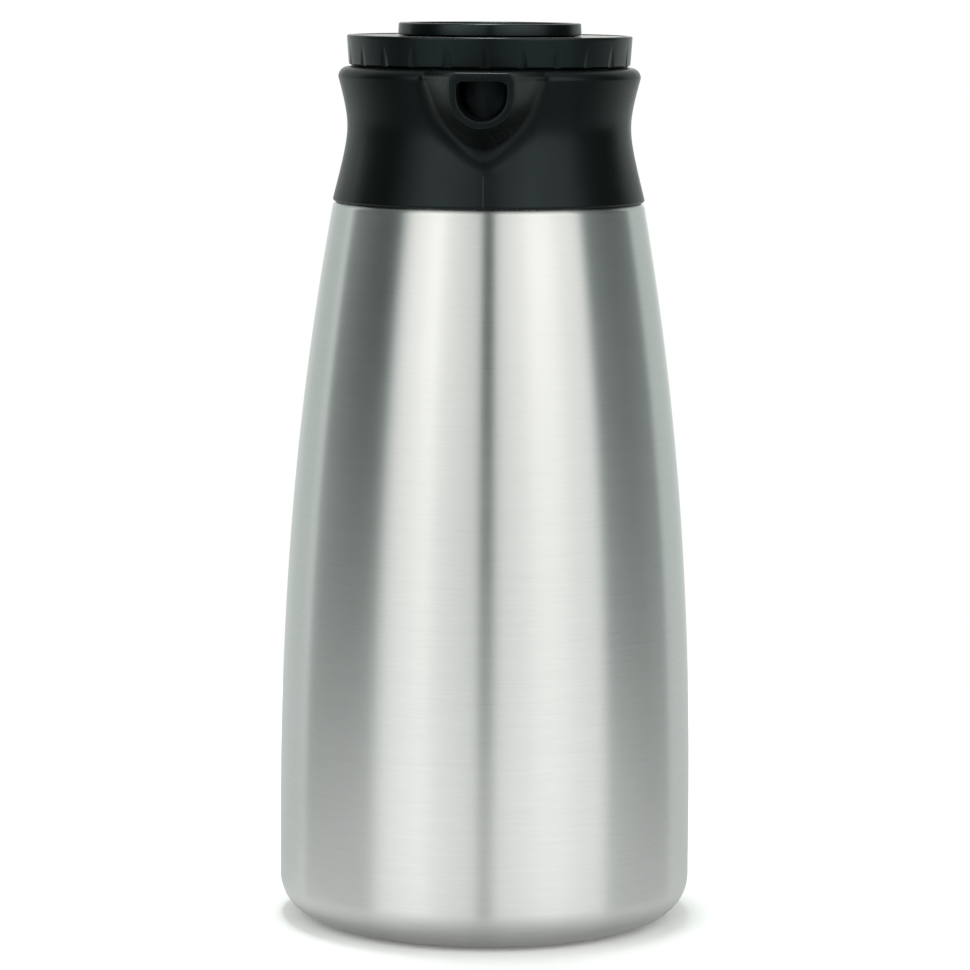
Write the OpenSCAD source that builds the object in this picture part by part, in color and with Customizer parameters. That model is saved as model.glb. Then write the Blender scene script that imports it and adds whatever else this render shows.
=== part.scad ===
// A double-walled steel carafe with a moulded collar and spout, a twist lid that rises as it
// turns, a flip cap over the lid's filling funnel, and a D-shaped handle behind.
// Millimetres. The origin is the middle of the base, on the surface that the carafe stands on.
// +Z is up, the spout points to -Y and the handle to +Y.

/* [Vessel] */
// Radius of the steel body at its widest
body_rad = 67.2; // [64:0.1:70]
// Height where the body starts to draw in
belly_z = 30; // [20:1:60]
// Height of the body's shoulder, under the collar
shoulder_z = 235; // [232:0.5:238]
// How far the radius draws in between the belly and the shoulder
shoulder_drop = 17; // [15.5:0.1:18]
// How late the body draws in: 1 is a straight cone
body_curve = 2.19; // [1.8:0.01:2.6]
// Radius of the corner between the body and the base
base_corner = 13; // [8:0.5:13.5]
// Height of the steel above the table, where the pad stands proud
foot_gap = 0.8; // [0.4:0.1:1.5]
// Thickness of the steel walls
steel_t = 0.7; // [0.5:0.1:0.9]
// Space between the two steel walls
vacuum_gap = 6.5; // [5:0.5:7]
// Inside radius of the vessel's neck
neck_rad = 38; // [36:0.5:38]
// Height of the mouth's flat lip
mouth_z = 252; // [251:0.5:252]

/* [Collar] */
// Radius of the collar at its waist
waist_rad = 45.9; // [45.7:0.1:46.5]
// Height of the waist
waist_z = 259; // [257:0.5:261]
// How softly the waist turns
waist_soft = 7.8; // [6:0.1:10]
// Slope of the flare above the waist
flare_up = 0.30; // [0.25:0.01:0.33]
// Slope of the flare below the waist
flare_down = 0.272; // [0.25:0.005:0.3]
// Height of the collar's bottom edge
collar_z = 234.8; // [234.6:0.1:235.2]
// Height of the collar's top
collar_top = 278.1; // [277.5:0.1:278.3]
// Radius of the throat inside the collar
throat_rad = 43.5; // [43.3:0.1:43.7]

/* [Spout] */
// Distance of the spout's rim from the axis
spout_reach = 67; // [60:0.5:70]
// Half width of the spout's rim outside
spout_half = 10.05; // [9.5:0.05:11]
// Wall of the spout at its rim
spout_wall = 2.35; // [1.8:0.05:3]
// Height of the spout's outside at its top
spout_top = 277.9; // [277:0.1:278]
// Outside height of the spout's rim
spout_h = 17.2; // [15:0.1:19]
// How much wider the spout is where it leaves the collar
spout_spread = 2.2; // [1.8:0.05:2.3]
// How much taller the spout is where it leaves the collar
spout_drop = 1.65; // [1.3:0.05:1.8]

/* [Lid] */
// Radius of the lid's skirt at its top
lid_rad = 46.1; // [46:0.05:47]
// Radius of the lid's skirt at its bottom edge
skirt_rad = 45.45; // [45:0.05:46]
// Height of the lid's flat top
lid_top = 288; // [287.5:0.1:288.5]
// Height of the skirt's bottom edge
lid_z = 278.8; // [278.5:0.1:279.2]
// Number of finger flutes round the skirt
flutes = 24; // [12:2:36]
// Depth of each finger flute at the skirt's bottom edge
flute_depth = 0.5; // [0.2:0.05:0.7]
// Rise of the lid in one full turn
thread_lead = 19.5; // [19:0.1:20]
// Number of thread ribs round the collar, and of lugs round the stopper
thread_starts = 3; // [3:1:3]

/* [Flip cap] */
// Radius of the raised cap at its foot
cap_rad = 29.6; // [29:0.1:30]
// Height of the cap's rim
cap_top = 292.3; // [291.8:0.1:292.6]
// Depth of the dish in the cap's top
dish_depth = 5.8; // [3:0.1:6]
// Distance of the cap's hinge from the axis
hinge_y = 33; // [32.8:0.1:34]
// Height of the cap's hinge
hinge_z = 289.9; // [289.7:0.1:290.1]
// Radius of the hinge pin
pin_rad = 1; // [0.8:0.05:1.1]

/* [Handle] */
// Width of the handle
handle_w = 27; // [24:0.5:30]
// Depth of the handle's section
handle_t = 17; // [15:0.5:19]
// Radius of the section's corners
handle_round = 6.5; // [4:0.5:7]
// Height of the handle's upper arm
upper_arm_z = 257; // [256:0.5:258]
// Where the upper arm starts to bend down, from the axis
upper_arm_y = 72; // [70:1:78]
// Radius of the upper bend, at the middle of the section
upper_bend = 24; // [20:1:26]
// Radius of the lower bend, at the middle of the section
lower_bend = 22; // [18:1:24]
// Length of the straight part that the hand holds
grip_len = 84; // [78:1:90]
// Angle of the grip away from upright
grip_lean = 7; // [4:0.5:9]

/* [Hidden] */

$fn = 96;
fit = 0.2;                  // gap between pieces that are pressed or clamped together
slack = 0.3;                // gap between pieces that move past each other
far = 200;                  // longer than any cut needs

steel_color = [0.74, 0.75, 0.74];
liner_color = [0.66, 0.67, 0.67];
black_color = [0.08, 0.085, 0.085];
screw_color = [0.55, 0.56, 0.57];
seal_color = [0.86, 0.85, 0.80];
rubber_color = [0.13, 0.13, 0.13];
foam_color = [0.90, 0.86, 0.72];

// Shoulder and neck of the outer shell
shoulder_round = 2.4;
shoulder_in = 46.2;         // inner edge of the flat step under the collar
shell_neck = 42;            // outside of the neck
neck_foot_z = 241.2;        // where the neck becomes upright
bead_rad = 42.9;            // outside of the rolled bead that holds the collar down
bead_z = 248.4;             // underside of the bead
bead_h = 1.4;
lip_t = 0.8;                // thickness of the mouth's rolled lip
mouth_rad = 42;             // outside of the mouth's lip

// Base
base_rad = 51;              // opening in the bottom of the outer shell
cup_rim = 53.5;             // outside of the cup that closes the opening
cup_floor = 4;              // height of the cup's floor, which is drawn in from below
pad_rad = 50.2;
pad_edge = 0.5;
seal_well = 5;              // radius of the hollow in the pad under the vacuum seal
seal_nub = 1.8;             // radius of the part of the seal that fills the hole

// Liner
liner_corner = 12;          // radius of the corner between the liner's side and its floor
liner_floor = 11;
liner_neck_z = 236;         // where the liner's neck becomes upright
liner_turn_z = 216;         // where the liner starts to draw in to the neck

// Spout
spout_root = 41;            // where the spout's outside starts, inside the collar's wall
spout_steps = 8;            // sections along the spout
spout_corner = 2.2;         // corner radius of the rim's outline
spout_roof = 2.75;          // thickness of the rim over the opening
blend_curve = 1.15;         // 1 for straight sides, more for sides that draw in fast at the collar
spread_fade = 1.2;          // how much of the spread is gone at the spout's bottom
fade_curve = 1.25;          // above 1 the spread stays near its full width for longer

// Collar
skirt_in = 49.6;            // inside of the collar's bottom edge
ledge_z = 237.1;            // underside of the ledge that the shoulder gasket seals against
ledge_in = 46.6;
ledge_out = 48.6;
web_z = 242.8;              // underside of the web that the retaining ring pulls down
web_t = 3.5;
web_in = 43.1;
ring_room = 44.8;           // inside of the collar beside the retaining ring
throat_step = 254.3;        // where the throat becomes narrower, above the neck
top_round = 3.3;            // rounding of the collar's top edge

// Thread: ribs in the collar and lugs on the stopper share one lead
thread_mid = 41.1;          // radius where the slope of a rib is true
thread_tilt = atan(thread_lead / (2 * PI * thread_mid));
rib_z = 271.5;              // middle of each rib
rib_span = 56;              // degrees round the collar
lug_span = 44;              // degrees round the stopper
lug_drop = 3.2;             // how far a lug's middle is below a rib's
rib_tip = 39.6;
lug_tip = 42.6;
thread_root_h = 2;          // half height of a rib or lug at its root
thread_tip_h = 1.1;

// Lid
lid_edge = 0.6;             // rounding of the lid's top edge
lid_plate = 2.2;            // thickness of the lid's top
lid_bead = 0.3;             // height of the bead round the lid's top edge
bead_w = 1.6;               // width of that bead with its slope
skirt_inner = 43.6;
flute_rad = 5;              // radius of each hollow
flute_top_depth = 0.05;     // depth of a flute where it meets the lid's top edge
stopper_wall = 38.6;
stopper_in = 36.2;
stopper_low = 36;           // outside of the stopper within the neck
stopper_low_in = 33.6;
stopper_bottom = 240;
flange_z = 281;             // underside of the flange that the lid's cover is screwed to
flange_t = 2.2;
flange_rad = 42.8;
flange_in = 30.2;
hole_rad = 27.4;            // filling opening in the lid
hole_wall = 29.6;           // outside of the short wall round the opening
hole_z = 283.4;             // bottom of that wall
screw_circle = 33;          // distance of the lid's screws from the axis
gasket_z = 252.2;
gasket_t = 1.9;
gasket_rad = 41.8;
gasket_in = 36.25;
seat_flange_z = 254.4;      // underside of the flange that presses on the gasket
tube_rad = 7.2;
tube_out = 9.2;
tube_z = 241;
orifice = 4.8;              // opening that the float closes
tube_top = 264.8;
socket_h = 5;               // how far the funnel's neck reaches over the tube
socket_wall = 1.6;
cone_z = 266.6;             // where the funnel's cone meets its neck
cage_in = 7.5;
cage_rad = 10.6;
cage_z = 228;
cage_floor = 1.5;
float_rad = 6.6;

// Flip cap
cap_foot = lid_top + slack;
cap_draft = 0.2;            // how much the cap's side draws in towards its rim
plug_rad = 25.4;
plug_z = 283.7;
plug_in = 23.4;
seal_rad = 27;
arm_y = 28;                 // where the hinge's arm leaves the cap
barrel_rad = 2.1;
barrel_half = 6.7;          // half length of the hinge's barrel
lug_in = 7;                 // inner and outer faces of the lid's two hinge lugs
lug_out = 10.5;
bore_slack = 0.08;

// Handle
boss_end = 50.5;            // rear face of the collar's handle boss
handle_wall = 2.6;
half_seam = 0.05;           // half of the gap between the handle's two mouldings
top_screw_x = 6;            // half distances between the screws that hold the handle's top
top_screw_z = 3.2;
cover_screw_sink = 1.4;     // depth of the hollow for each screw's head on the cover
low_screw_sink = 1.6;
upper_arm_start = boss_end + 0.1;
grip_dir = grip_lean - 90;  // direction of travel down the grip, measured from +Y
arc1_y = upper_arm_y;
arc1_z = upper_arm_z - upper_bend;
grip_y = arc1_y - upper_bend * sin(grip_dir);
grip_z = arc1_z + upper_bend * cos(grip_dir);
low_y = grip_y + grip_len * cos(grip_dir);
low_z = grip_z + grip_len * sin(grip_dir);
arc2_y = low_y + lower_bend * sin(grip_dir);
arc2_z = low_z - lower_bend * cos(grip_dir);
lower_arm_z = arc2_z - lower_bend;
lower_arm_end = 58;         // inside the body's surface, and cut back to it
bracket_y = 76;             // where the lower screw stands
cover_screw_at = [16, grip_len - 16];

// Radius of the outer shell at a height
function body_r(z) =
    body_rad - shoulder_drop * pow(max(0, z - belly_z) / (shoulder_z - belly_z), body_curve);

// Radius of the collar's outside at a height
function collar_r(z) =
    waist_rad + (z > waist_z ? flare_up : flare_down)
    * (sqrt(pow(z - waist_z, 2) + pow(waist_soft, 2)) - waist_soft);

// Radius of the liner's outside at a height: the shell's shape, then an S-curve to the neck
function liner_body(z) = body_r(z) - steel_t - vacuum_gap;
function ease(t) = t * t * (3 - 2 * t);
function liner_r(z) =
    let (t = max(0, min(1, (z - liner_turn_z) / (liner_neck_z - liner_turn_z))))
    liner_body(min(z, liner_turn_z)) * (1 - ease(t)) + (neck_rad + steel_t) * ease(t);

// Points of an arc about [cx, cy]
function arc(cx, cy, r, from, to, steps = 6) =
    [for (i = [0:steps]) let (a = from + (to - from) * i / steps) [cx + r * cos(a), cy + r * sin(a)]];

function heights(from, to, steps) = [for (i = [0:steps]) from + (to - from) * i / steps];
function reversed(list) = [for (i = [len(list) - 1:-1:0]) list[i]];

// ---- Vessel ----

function shell_side(inset) = concat(
    arc(body_rad - base_corner, foot_gap + base_corner, base_corner - inset, -90, 0, 8),
    [for (z = heights(belly_z, shoulder_z - shoulder_round, 22)) [body_r(z) - inset, z]],
    arc(body_r(shoulder_z - shoulder_round) - shoulder_round, shoulder_z - shoulder_round,
        shoulder_round - inset, 15, 90, 5),
    [[shoulder_in - inset / 2, shoulder_z - inset], [shell_neck - inset, neck_foot_z],
     [shell_neck - inset, bead_z - 0.8], [bead_rad - inset, bead_z],
     [bead_rad - inset, bead_z + bead_h], [shell_neck - inset, bead_z + bead_h + 0.8],
     [shell_neck - inset, mouth_z - lip_t]]
);

module outer_shell() {
    color(steel_color)
    rotate_extrude()
    polygon(concat(
        [[base_rad, foot_gap]],
        shell_side(0),
        reversed(shell_side(steel_t)),
        [[base_rad, foot_gap + steel_t]]
    ));
}

function liner_side(inset) = concat(
    arc(liner_body(belly_z) - liner_corner, liner_floor + liner_corner,
        liner_corner - inset, -90, 0, 8),
    [for (z = heights(belly_z, liner_turn_z, 18)) [liner_r(z) - inset, z]],
    [for (z = heights(liner_turn_z + 2, liner_neck_z, 9)) [liner_r(z) - inset, z]]
);

module inner_liner() {
    color(liner_color)
    rotate_extrude()
    polygon(concat(
        [[0, liner_floor]],
        liner_side(0),
        [[neck_rad + steel_t, mouth_z - lip_t], [mouth_rad, mouth_z - lip_t],
         [mouth_rad, mouth_z], [neck_rad + 0.4, mouth_z], [neck_rad, mouth_z - 0.4]],
        reversed(liner_side(steel_t)),
        [[0, liner_floor + steel_t]]
    ));
}

module base_cup() {
    color(steel_color)
    rotate_extrude()
    polygon([
        [seal_nub + 0.1, cup_floor], [47.5, cup_floor],
        [49.5, foot_gap + 2 * steel_t], [base_rad + 0.4, foot_gap + steel_t],
        [cup_rim, foot_gap + steel_t], [cup_rim, foot_gap + 2 * steel_t],
        [50.4, foot_gap + 3 * steel_t], [48.2, cup_floor + steel_t],
        [seal_nub + 0.1, cup_floor + steel_t]
    ]);
}

// A small capsule that keeps the vacuum clean, on the inside of the base
module getter() {
    color(screw_color)
    translate([25, 0, cup_floor + steel_t])
    rotate_extrude()
    polygon(concat([[0, 0], [6, 0]], arc(5.2, 1.2, 0.8, 0, 90, 4), [[0, 2]]));
}

// The plug that closes the hole through which the air was drawn out
module vacuum_seal() {
    color(screw_color)
    translate([0, 0, cup_floor])
    rotate_extrude()
    polygon([[0, -1.1], [3.4, -1.1], [4, -0.6], [4, 0], [seal_nub, 0], [seal_nub, 1.2], [0, 1.2]]);
}

module base_pad() {
    color(rubber_color)
    rotate_extrude()
    polygon([
        [0, 0], [pad_rad - pad_edge, 0], [pad_rad, pad_edge], [pad_rad, 1.2],
        [48.7, 2], [47, cup_floor - fit], [seal_well, cup_floor - fit],
        [seal_well, 2.3], [0, 2.3]
    ]);
}

// ---- Collar ----

// The spout's outside at its rim, seen from the front: a flat top with rounded corners, upright
// sides and a round bottom. Points run from the top middle round to the top middle.
function spout_outline(half, top, h, corner) = concat(
    arc(half - corner, top - corner, corner, 90, 0, 4),
    arc(0, top - h + half, half, 0, -180, 16),
    arc(-half + corner, top - corner, corner, 180, 90, 4)
);

// One section of the spout between the collar (t = 0) and the rim (t = 1). The sides are almost
// straight. They spread most at the top, so the spout's root on the collar is a shield's outline.
function spout_section(t) =
    let (k = pow(1 - t, blend_curve))
    [for (p = spout_outline(spout_half, 0, spout_h, spout_corner))
        let (
            depth = max(0, -p[1] / spout_h),
            spread = (spout_spread - 1) * k * max(0, 1 - spread_fade * pow(depth, fade_curve))
        )
        [p[0] * (1 + spread), -(spout_reach - (1 - t) * (spout_reach - spout_root)),
         spout_top + p[1] * (1 + (spout_drop - 1) * k)]];

module spout_body() {
    rings = [for (i = [0:spout_steps]) spout_section(i / spout_steps)];
    n = len(rings[0]);
    last = spout_steps * n;
    polyhedron(
        points = [for (ring = rings) each ring],
        faces = concat(
            [[for (j = [n - 1:-1:0]) j]],
            [for (i = [0:spout_steps - 1], j = [0:n - 1])
                let (k = (j + 1) % n, a = i * n + j, b = a + n, c = i * n + k, d = c + n)
                each [[a, c, b], [c, d, b]]],
            [[for (j = [0:n - 1]) last + j]]
        )
    );
}

module spout_channel() {
    translate([0, -spout_root + 4, 0])
    rotate([90, 0, 0])
    linear_extrude(spout_reach - spout_root + 8)
    polygon(spout_outline(
        spout_half - spout_wall, spout_top - spout_roof, spout_h - spout_roof - spout_wall, 2
    ));
}

// A thread rib or lug: a short arc of a ring, tilted to the thread's slope
module thread_piece(root, tip, span) {
    rotate([thread_tilt, 0, 0])
    rotate([0, 0, -span / 2])
    rotate_extrude(angle = span)
    polygon([[root, -thread_root_h], [tip, -thread_tip_h], [tip, thread_tip_h], [root, thread_root_h]]);
}

module thread_ring(root, tip, span, z) {
    for (i = [0:thread_starts - 1])
        rotate([0, 0, 90 + i * 360 / thread_starts])
        translate([0, 0, z])
        thread_piece(root, tip, span);
}

module collar_outside() {
    rotate_extrude()
    polygon(concat(
        [[0, collar_z], [skirt_in, collar_z]],
        arc(collar_r(collar_z + 0.8) - 0.8, collar_z + 0.8, 0.8, -90, 0, 4),
        [for (z = heights(collar_z + 2, collar_top - top_round - 1, 18)) [collar_r(z), z]],
        arc(collar_r(collar_top - top_round) - top_round, collar_top - top_round, top_round, 0, 90, 6),
        [[0, collar_top]]
    ));
}

module collar_inside() {
    rotate_extrude()
    polygon([
        [0, collar_z - 1], [skirt_in + 0.4, collar_z - 1], [skirt_in, collar_z + 0.2],
        [ledge_out, collar_z + 1.6], [ledge_out, ledge_z], [ledge_in, ledge_z],
        [ledge_in, web_z], [web_in, web_z], [web_in, web_z + web_t],
        [ring_room, web_z + web_t], [ring_room, throat_step - 1.3], [throat_rad, throat_step],
        [throat_rad, collar_top - 0.6], [throat_rad + 0.7, collar_top + 0.1], [0, collar_top + 0.1]
    ]);
}

module handle_boss() {
    translate([0, throat_rad - 4, upper_arm_z])
    rotate([90, 0, 180])
    linear_extrude(boss_end - throat_rad + 4)
    polygon(handle_outline());
}

// Places its children at the four screws between the collar's boss and the handle
module at_top_screws(y) {
    for (x = [-top_screw_x, top_screw_x], z = [-top_screw_z, top_screw_z])
        translate([x, y, upper_arm_z + z])
        children();
}

module collar() {
    color(black_color)
    union() {
        difference() {
            union() {
                collar_outside();
                spout_body();
                handle_boss();
            }
            collar_inside();
            spout_channel();
            at_top_screws(boss_end + 1)
                rotate([90, 0, 0])
                cylinder(h = 6.6, r = 1.35);
        }
        thread_ring(throat_rad + 0.4, rib_tip, rib_span, rib_z);
    }
}

module throat_seal() {
    color(seal_color)
    rotate_extrude()
    polygon([
        [shell_neck + 0.15, bead_z + bead_h + 0.9], [bead_rad + 0.2, bead_z + bead_h + 0.1],
        [ring_room - 0.1, bead_z + bead_h + 0.1], [ring_room - 0.1, mouth_z - 0.5],
        [ring_room - 0.5, mouth_z - 0.1], [shell_neck + 0.15, mouth_z - 0.1]
    ]);
}

// A split spring ring between the collar's web and the bead on the neck
module retaining_ring() {
    color(screw_color)
    rotate([0, 0, 96])
    rotate_extrude(angle = 348)
    polygon([
        [shell_neck + 0.15, web_z + web_t + 0.05], [ring_room - 0.3, web_z + web_t + 0.05],
        [ring_room - 0.3, bead_z - 0.9], [shell_neck + 0.15, bead_z - 0.9]
    ]);
}

module shoulder_gasket() {
    color(rubber_color)
    rotate_extrude()
    polygon([
        [shoulder_in + 0.4, shoulder_z + 0.05], [48.1, shoulder_z + 0.05],
        [ledge_out - 0.2, shoulder_z + 1.4], [ledge_out - 0.2, ledge_z - 0.1],
        [ledge_in - 0.1, ledge_z - 0.1], [ledge_in - 0.1, shoulder_z + 1.5]
    ]);
}

// ---- Handle ----

// The handle's section, or the same outline drawn in by an inset
function handle_outline(inset = 0) =
    let (x = handle_w / 2 - handle_round, y = handle_t / 2 - handle_round, r = handle_round - inset)
    concat(
        arc(x, y, r, 0, 90), arc(-x, y, r, 90, 180),
        arc(-x, -y, r, 180, 270), arc(x, -y, r, 270, 360)
    );

// Half of the hollow section: a U that opens towards the split between the two mouldings.
// An inset makes its wall thinner on both faces.
function half_section(inset) =
    let (
        x = handle_w / 2 - inset, y = handle_t / 2 - inset, r = handle_round - inset,
        wall = handle_wall - 2 * inset, low = half_seam + inset,
        xi = x - wall, yi = y - wall, ri = r - wall
    )
    concat(
        [[x, low]], arc(x - r, y - r, r, 0, 90), arc(-x + r, y - r, r, 90, 180), [[-x, low]],
        [[-xi, low]], arc(-xi + ri, yi - ri, ri, 180, 90), arc(xi - ri, yi - ri, ri, 90, 0),
        [[xi, low]]
    );

// side = 1 is the outer moulding, -1 the one that the fingers touch
module section(side, inset = 0) {
    scale([1, side])
    polygon(half_section(inset));
}

// A straight run of the section from [y, z], in a direction measured from +Y
module straight_run(y, z, direction, length) {
    translate([0, y, z])
    rotate([direction, 0, 0])
    rotate([90, 0, 180])
    linear_extrude(length)
    children();
}

// A bend of the section that ends in a direction, having turned down by an angle
module bend(y, z, radius, direction, turn) {
    translate([0, y, z])
    rotate([direction + 90, 0, 0])
    rotate([90, 0, 90])
    rotate_extrude(angle = turn)
    translate([radius, 0])
    rotate(-90)
    children();
}

// A short core inside the wall that carries it across the line between a run and a bend
module run_core(y, z, direction, side) {
    straight_run(y - cos(direction), z - sin(direction), direction, 2) section(side, 0.5);
}

module handle_sweep(side) {
    straight_run(upper_arm_start, upper_arm_z, 0, upper_arm_y - upper_arm_start) section(side);
    bend(arc1_y, arc1_z, upper_bend, grip_dir, -grip_dir) section(side);
    straight_run(grip_y, grip_z, grip_dir, grip_len) section(side);
    bend(arc2_y, arc2_z, lower_bend, -180, 180 + grip_dir) section(side);
    straight_run(arc2_y, lower_arm_z, -180, arc2_y - lower_arm_end) section(side);
    run_core(upper_arm_y, upper_arm_z, 0, side);
    run_core(grip_y, grip_z, grip_dir, side);
    run_core(low_y, low_z, grip_dir, side);
    run_core(arc2_y, lower_arm_z, -180, side);
}

// The steel body, a little oversize, to cut the lower arm back to
module body_near_arm(extra) {
    low = lower_arm_z - 20;
    high = lower_arm_z + 20;
    translate([0, 0, low])
    cylinder(h = high - low, r1 = body_r(low) + extra, r2 = body_r(high) + extra);
}

// Places its children on the grip's middle line, with +Z pointing to the fingers
module on_grip(distance) {
    translate([0, grip_y + distance * cos(grip_dir), grip_z + distance * sin(grip_dir)])
    rotate([grip_dir, 0, 0])
    rotate([180, 0, 0])
    children();
}

module handle_grip() {
    color(black_color)
    difference() {
        union() {
            handle_sweep(1);
            straight_run(upper_arm_start, upper_arm_z, 0, 3)
            union() {
                intersection() {
                    polygon(handle_outline());
                    translate([-handle_w / 2, half_seam])
                    square([handle_w, handle_t]);
                }
                polygon(handle_outline(handle_wall + fit));
            }
            for (d = cover_screw_at)
                on_grip(d)
                translate([0, 0, -handle_t / 2 + 1])
                cylinder(h = handle_t - handle_wall - 1.2, r = 3.4);
            translate([0, bracket_y, lower_arm_z - handle_t / 2 + 1])
            cylinder(h = handle_t / 2 - 2.1, r = 4.4);
        }
        body_near_arm(0.4);
        at_top_screws(upper_arm_start + 4)
            rotate([90, 0, 0])
            cylinder(h = 6, r = 1.65);
        for (d = cover_screw_at)
            on_grip(d)
            translate([0, 0, -2])
            cylinder(h = handle_t, r = 1.3);
        translate([0, bracket_y, lower_arm_z - handle_t / 2 - 1])
        cylinder(h = handle_t, r = 1.8);
        translate([0, bracket_y, lower_arm_z - handle_t / 2 - 1])
        cylinder(h = 1 + low_screw_sink, r = 3.3);
    }
}

module handle_cover() {
    color(black_color)
    difference() {
        handle_sweep(-1);
        body_near_arm(0.4);
        for (d = cover_screw_at)
            on_grip(d) {
                cylinder(h = handle_t, r = 1.55);
                translate([0, 0, handle_t / 2 - cover_screw_sink])
                cylinder(h = 3, r = 3.1);
            }
    }
}

// A pan-head screw along +Z: the head sits above z = 0 and the shank below it
module screw(shank_rad, shank_len, head_rad, head_h) {
    difference() {
        union() {
            translate([0, 0, -shank_len])
            cylinder(h = shank_len, r = shank_rad);
            rotate_extrude()
            polygon(concat([[0, 0], [head_rad, 0]], arc(head_rad - 0.6, head_h - 0.6, 0.6, 0, 90, 3),
                [[0, head_h]]));
        }
        translate([0, 0, head_h - 0.7])
        for (a = [0, 90])
            rotate([0, 0, a])
            translate([-head_rad * 0.6, -0.35, 0])
            cube([head_rad * 1.2, 0.7, 1]);
    }
}

module handle_top_screws() {
    color(screw_color)
    at_top_screws(upper_arm_start + 3)
        rotate([-90, 0, 0])
        screw(1.3, 8, 2.6, 1.6);
}

module handle_cover_screws() {
    color(screw_color)
    for (d = cover_screw_at)
        on_grip(d)
        translate([0, 0, handle_t / 2 - cover_screw_sink])
        screw(1.25, 8, 2.7, 1.3);
}

module lower_bracket() {
    color(steel_color)
    difference() {
        union() {
            intersection() {
                body_near_arm(1.6);
                translate([-9, 40, lower_arm_z - 5])
                cube([18, 40, 10]);
            }
            translate([-6, 50, lower_arm_z - 1])
            cube([12, 32, 2]);
        }
        body_near_arm(0.25);
        translate([0, bracket_y, lower_arm_z - 5])
        cylinder(h = 10, r = 1.55);
    }
}

module lower_screw() {
    color(screw_color)
    translate([0, bracket_y, lower_arm_z - handle_t / 2 + low_screw_sink])
    rotate([180, 0, 0])
    screw(1.5, 9, 2.9, 1.4);
}

// ---- Lid ----

// Round hollows that lean outwards, so that they are deepest at the skirt's bottom edge
module lid_flutes() {
    lean = atan((lid_rad - flute_top_depth - skirt_rad + flute_depth) / (lid_top - lid_edge - lid_z));
    for (i = [0:flutes - 1])
        rotate([0, 0, i * 360 / flutes])
        translate([skirt_rad - flute_depth, 0, lid_z])
        rotate([0, lean, 0])
        translate([flute_rad, 0, -5])
        cylinder(h = 20, r = flute_rad);
}

// Places its children at the three screws that join the lid's cover to the stopper
module at_lid_screws(z) {
    for (i = [0:2])
        rotate([0, 0, 30 + i * 120])
        translate([screw_circle, 0, z])
        children();
}

module hinge_lug(x) {
    translate([x, 0, 0])
    rotate([90, 0, 90])
    linear_extrude(lug_out - lug_in)
    polygon(concat(
        [[hinge_y - barrel_rad - 0.2, lid_top - 1], [hinge_y + barrel_rad + 0.9, lid_top - 1]],
        arc(hinge_y, hinge_z, barrel_rad, 0, 180, 8)
    ));
}

module lid_cover() {
    color(black_color)
    difference() {
        union() {
            difference() {
                rotate_extrude()
                polygon(concat(
                    [[hole_rad, hole_z], [hole_wall, hole_z], [hole_wall, lid_top - lid_plate],
                     [skirt_inner, lid_top - lid_plate], [skirt_inner, lid_z], [skirt_rad - 0.3, lid_z],
                     [skirt_rad, lid_z + 0.3]],
                    arc(lid_rad - lid_edge, lid_top + lid_bead - lid_edge, lid_edge, 0, 90, 4),
                    [[lid_rad - bead_w, lid_top + lid_bead], [lid_rad - bead_w - lid_bead, lid_top],
                     [hole_rad + 0.3, lid_top], [hole_rad, lid_top - 0.3]]
                ));
                lid_flutes();
            }
            at_lid_screws(flange_z + flange_t)
                cylinder(h = lid_top - 1 - flange_z - flange_t, r = 3.2);
            hinge_lug(lug_in);
            hinge_lug(-lug_out);
        }
        at_lid_screws(flange_z)
            cylinder(h = 5.4, r = 1.3);
        translate([-lug_in, hinge_y - barrel_rad - 1.5, hinge_z - barrel_rad - slack])
        cube([2 * lug_in, 2 * barrel_rad + 3, 5]);
        translate([-far / 2, hinge_y, hinge_z])
        rotate([0, 90, 0])
        cylinder(h = far, r = pin_rad + 0.02);
    }
}

module stopper() {
    color(black_color)
    union() {
        difference() {
            rotate_extrude()
            polygon([
                [flange_in, flange_z], [stopper_in, flange_z], [stopper_in, 261], [stopper_low_in, 256],
                [stopper_low_in, stopper_bottom], [stopper_low - 0.5, stopper_bottom],
                [stopper_low, stopper_bottom + 0.5], [stopper_low, seat_flange_z],
                [gasket_rad - 0.2, seat_flange_z], [gasket_rad - 0.2, seat_flange_z + 2],
                [stopper_low + 0.4, seat_flange_z + 2.6], [stopper_wall, 262],
                [stopper_wall, flange_z - 0.6], [stopper_wall + 0.6, flange_z],
                [flange_rad, flange_z], [flange_rad, flange_z + flange_t], [flange_in, flange_z + flange_t]
            ]);
            at_lid_screws(flange_z - 1)
                cylinder(h = 5, r = 1.65);
        }
        thread_ring(stopper_wall - 0.4, lug_tip, lug_span, rib_z - lug_drop);
    }
}

module stopper_base() {
    color(black_color)
    rotate_extrude()
    polygon([
        [11.8, stopper_bottom - 2.4], [stopper_low - 0.8, stopper_bottom - 2.4],
        [stopper_low - 0.2, stopper_bottom - 1.8], [stopper_low - 0.2, stopper_bottom - 0.1],
        [stopper_low_in - 0.1, stopper_bottom - 0.1], [stopper_low_in - 0.1, stopper_bottom + 2],
        [stopper_low_in - 1.8, stopper_bottom + 2], [stopper_low_in - 1.8, stopper_bottom],
        [11.8, stopper_bottom]
    ]);
}

module stopper_foam() {
    foam_in = tube_out + socket_wall + 0.5;
    color(foam_color)
    rotate_extrude()
    polygon([
        [foam_in, stopper_bottom + 4], [stopper_low_in - 2.4, stopper_bottom + 2.4],
        [stopper_low_in - 0.6, stopper_bottom + 2.4], [stopper_low_in - 0.6, 256],
        [stopper_in - 0.6, 261.5], [stopper_in - 0.6, 270], [17.4, 270], [foam_in, tube_top - 1]
    ]);
}

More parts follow.
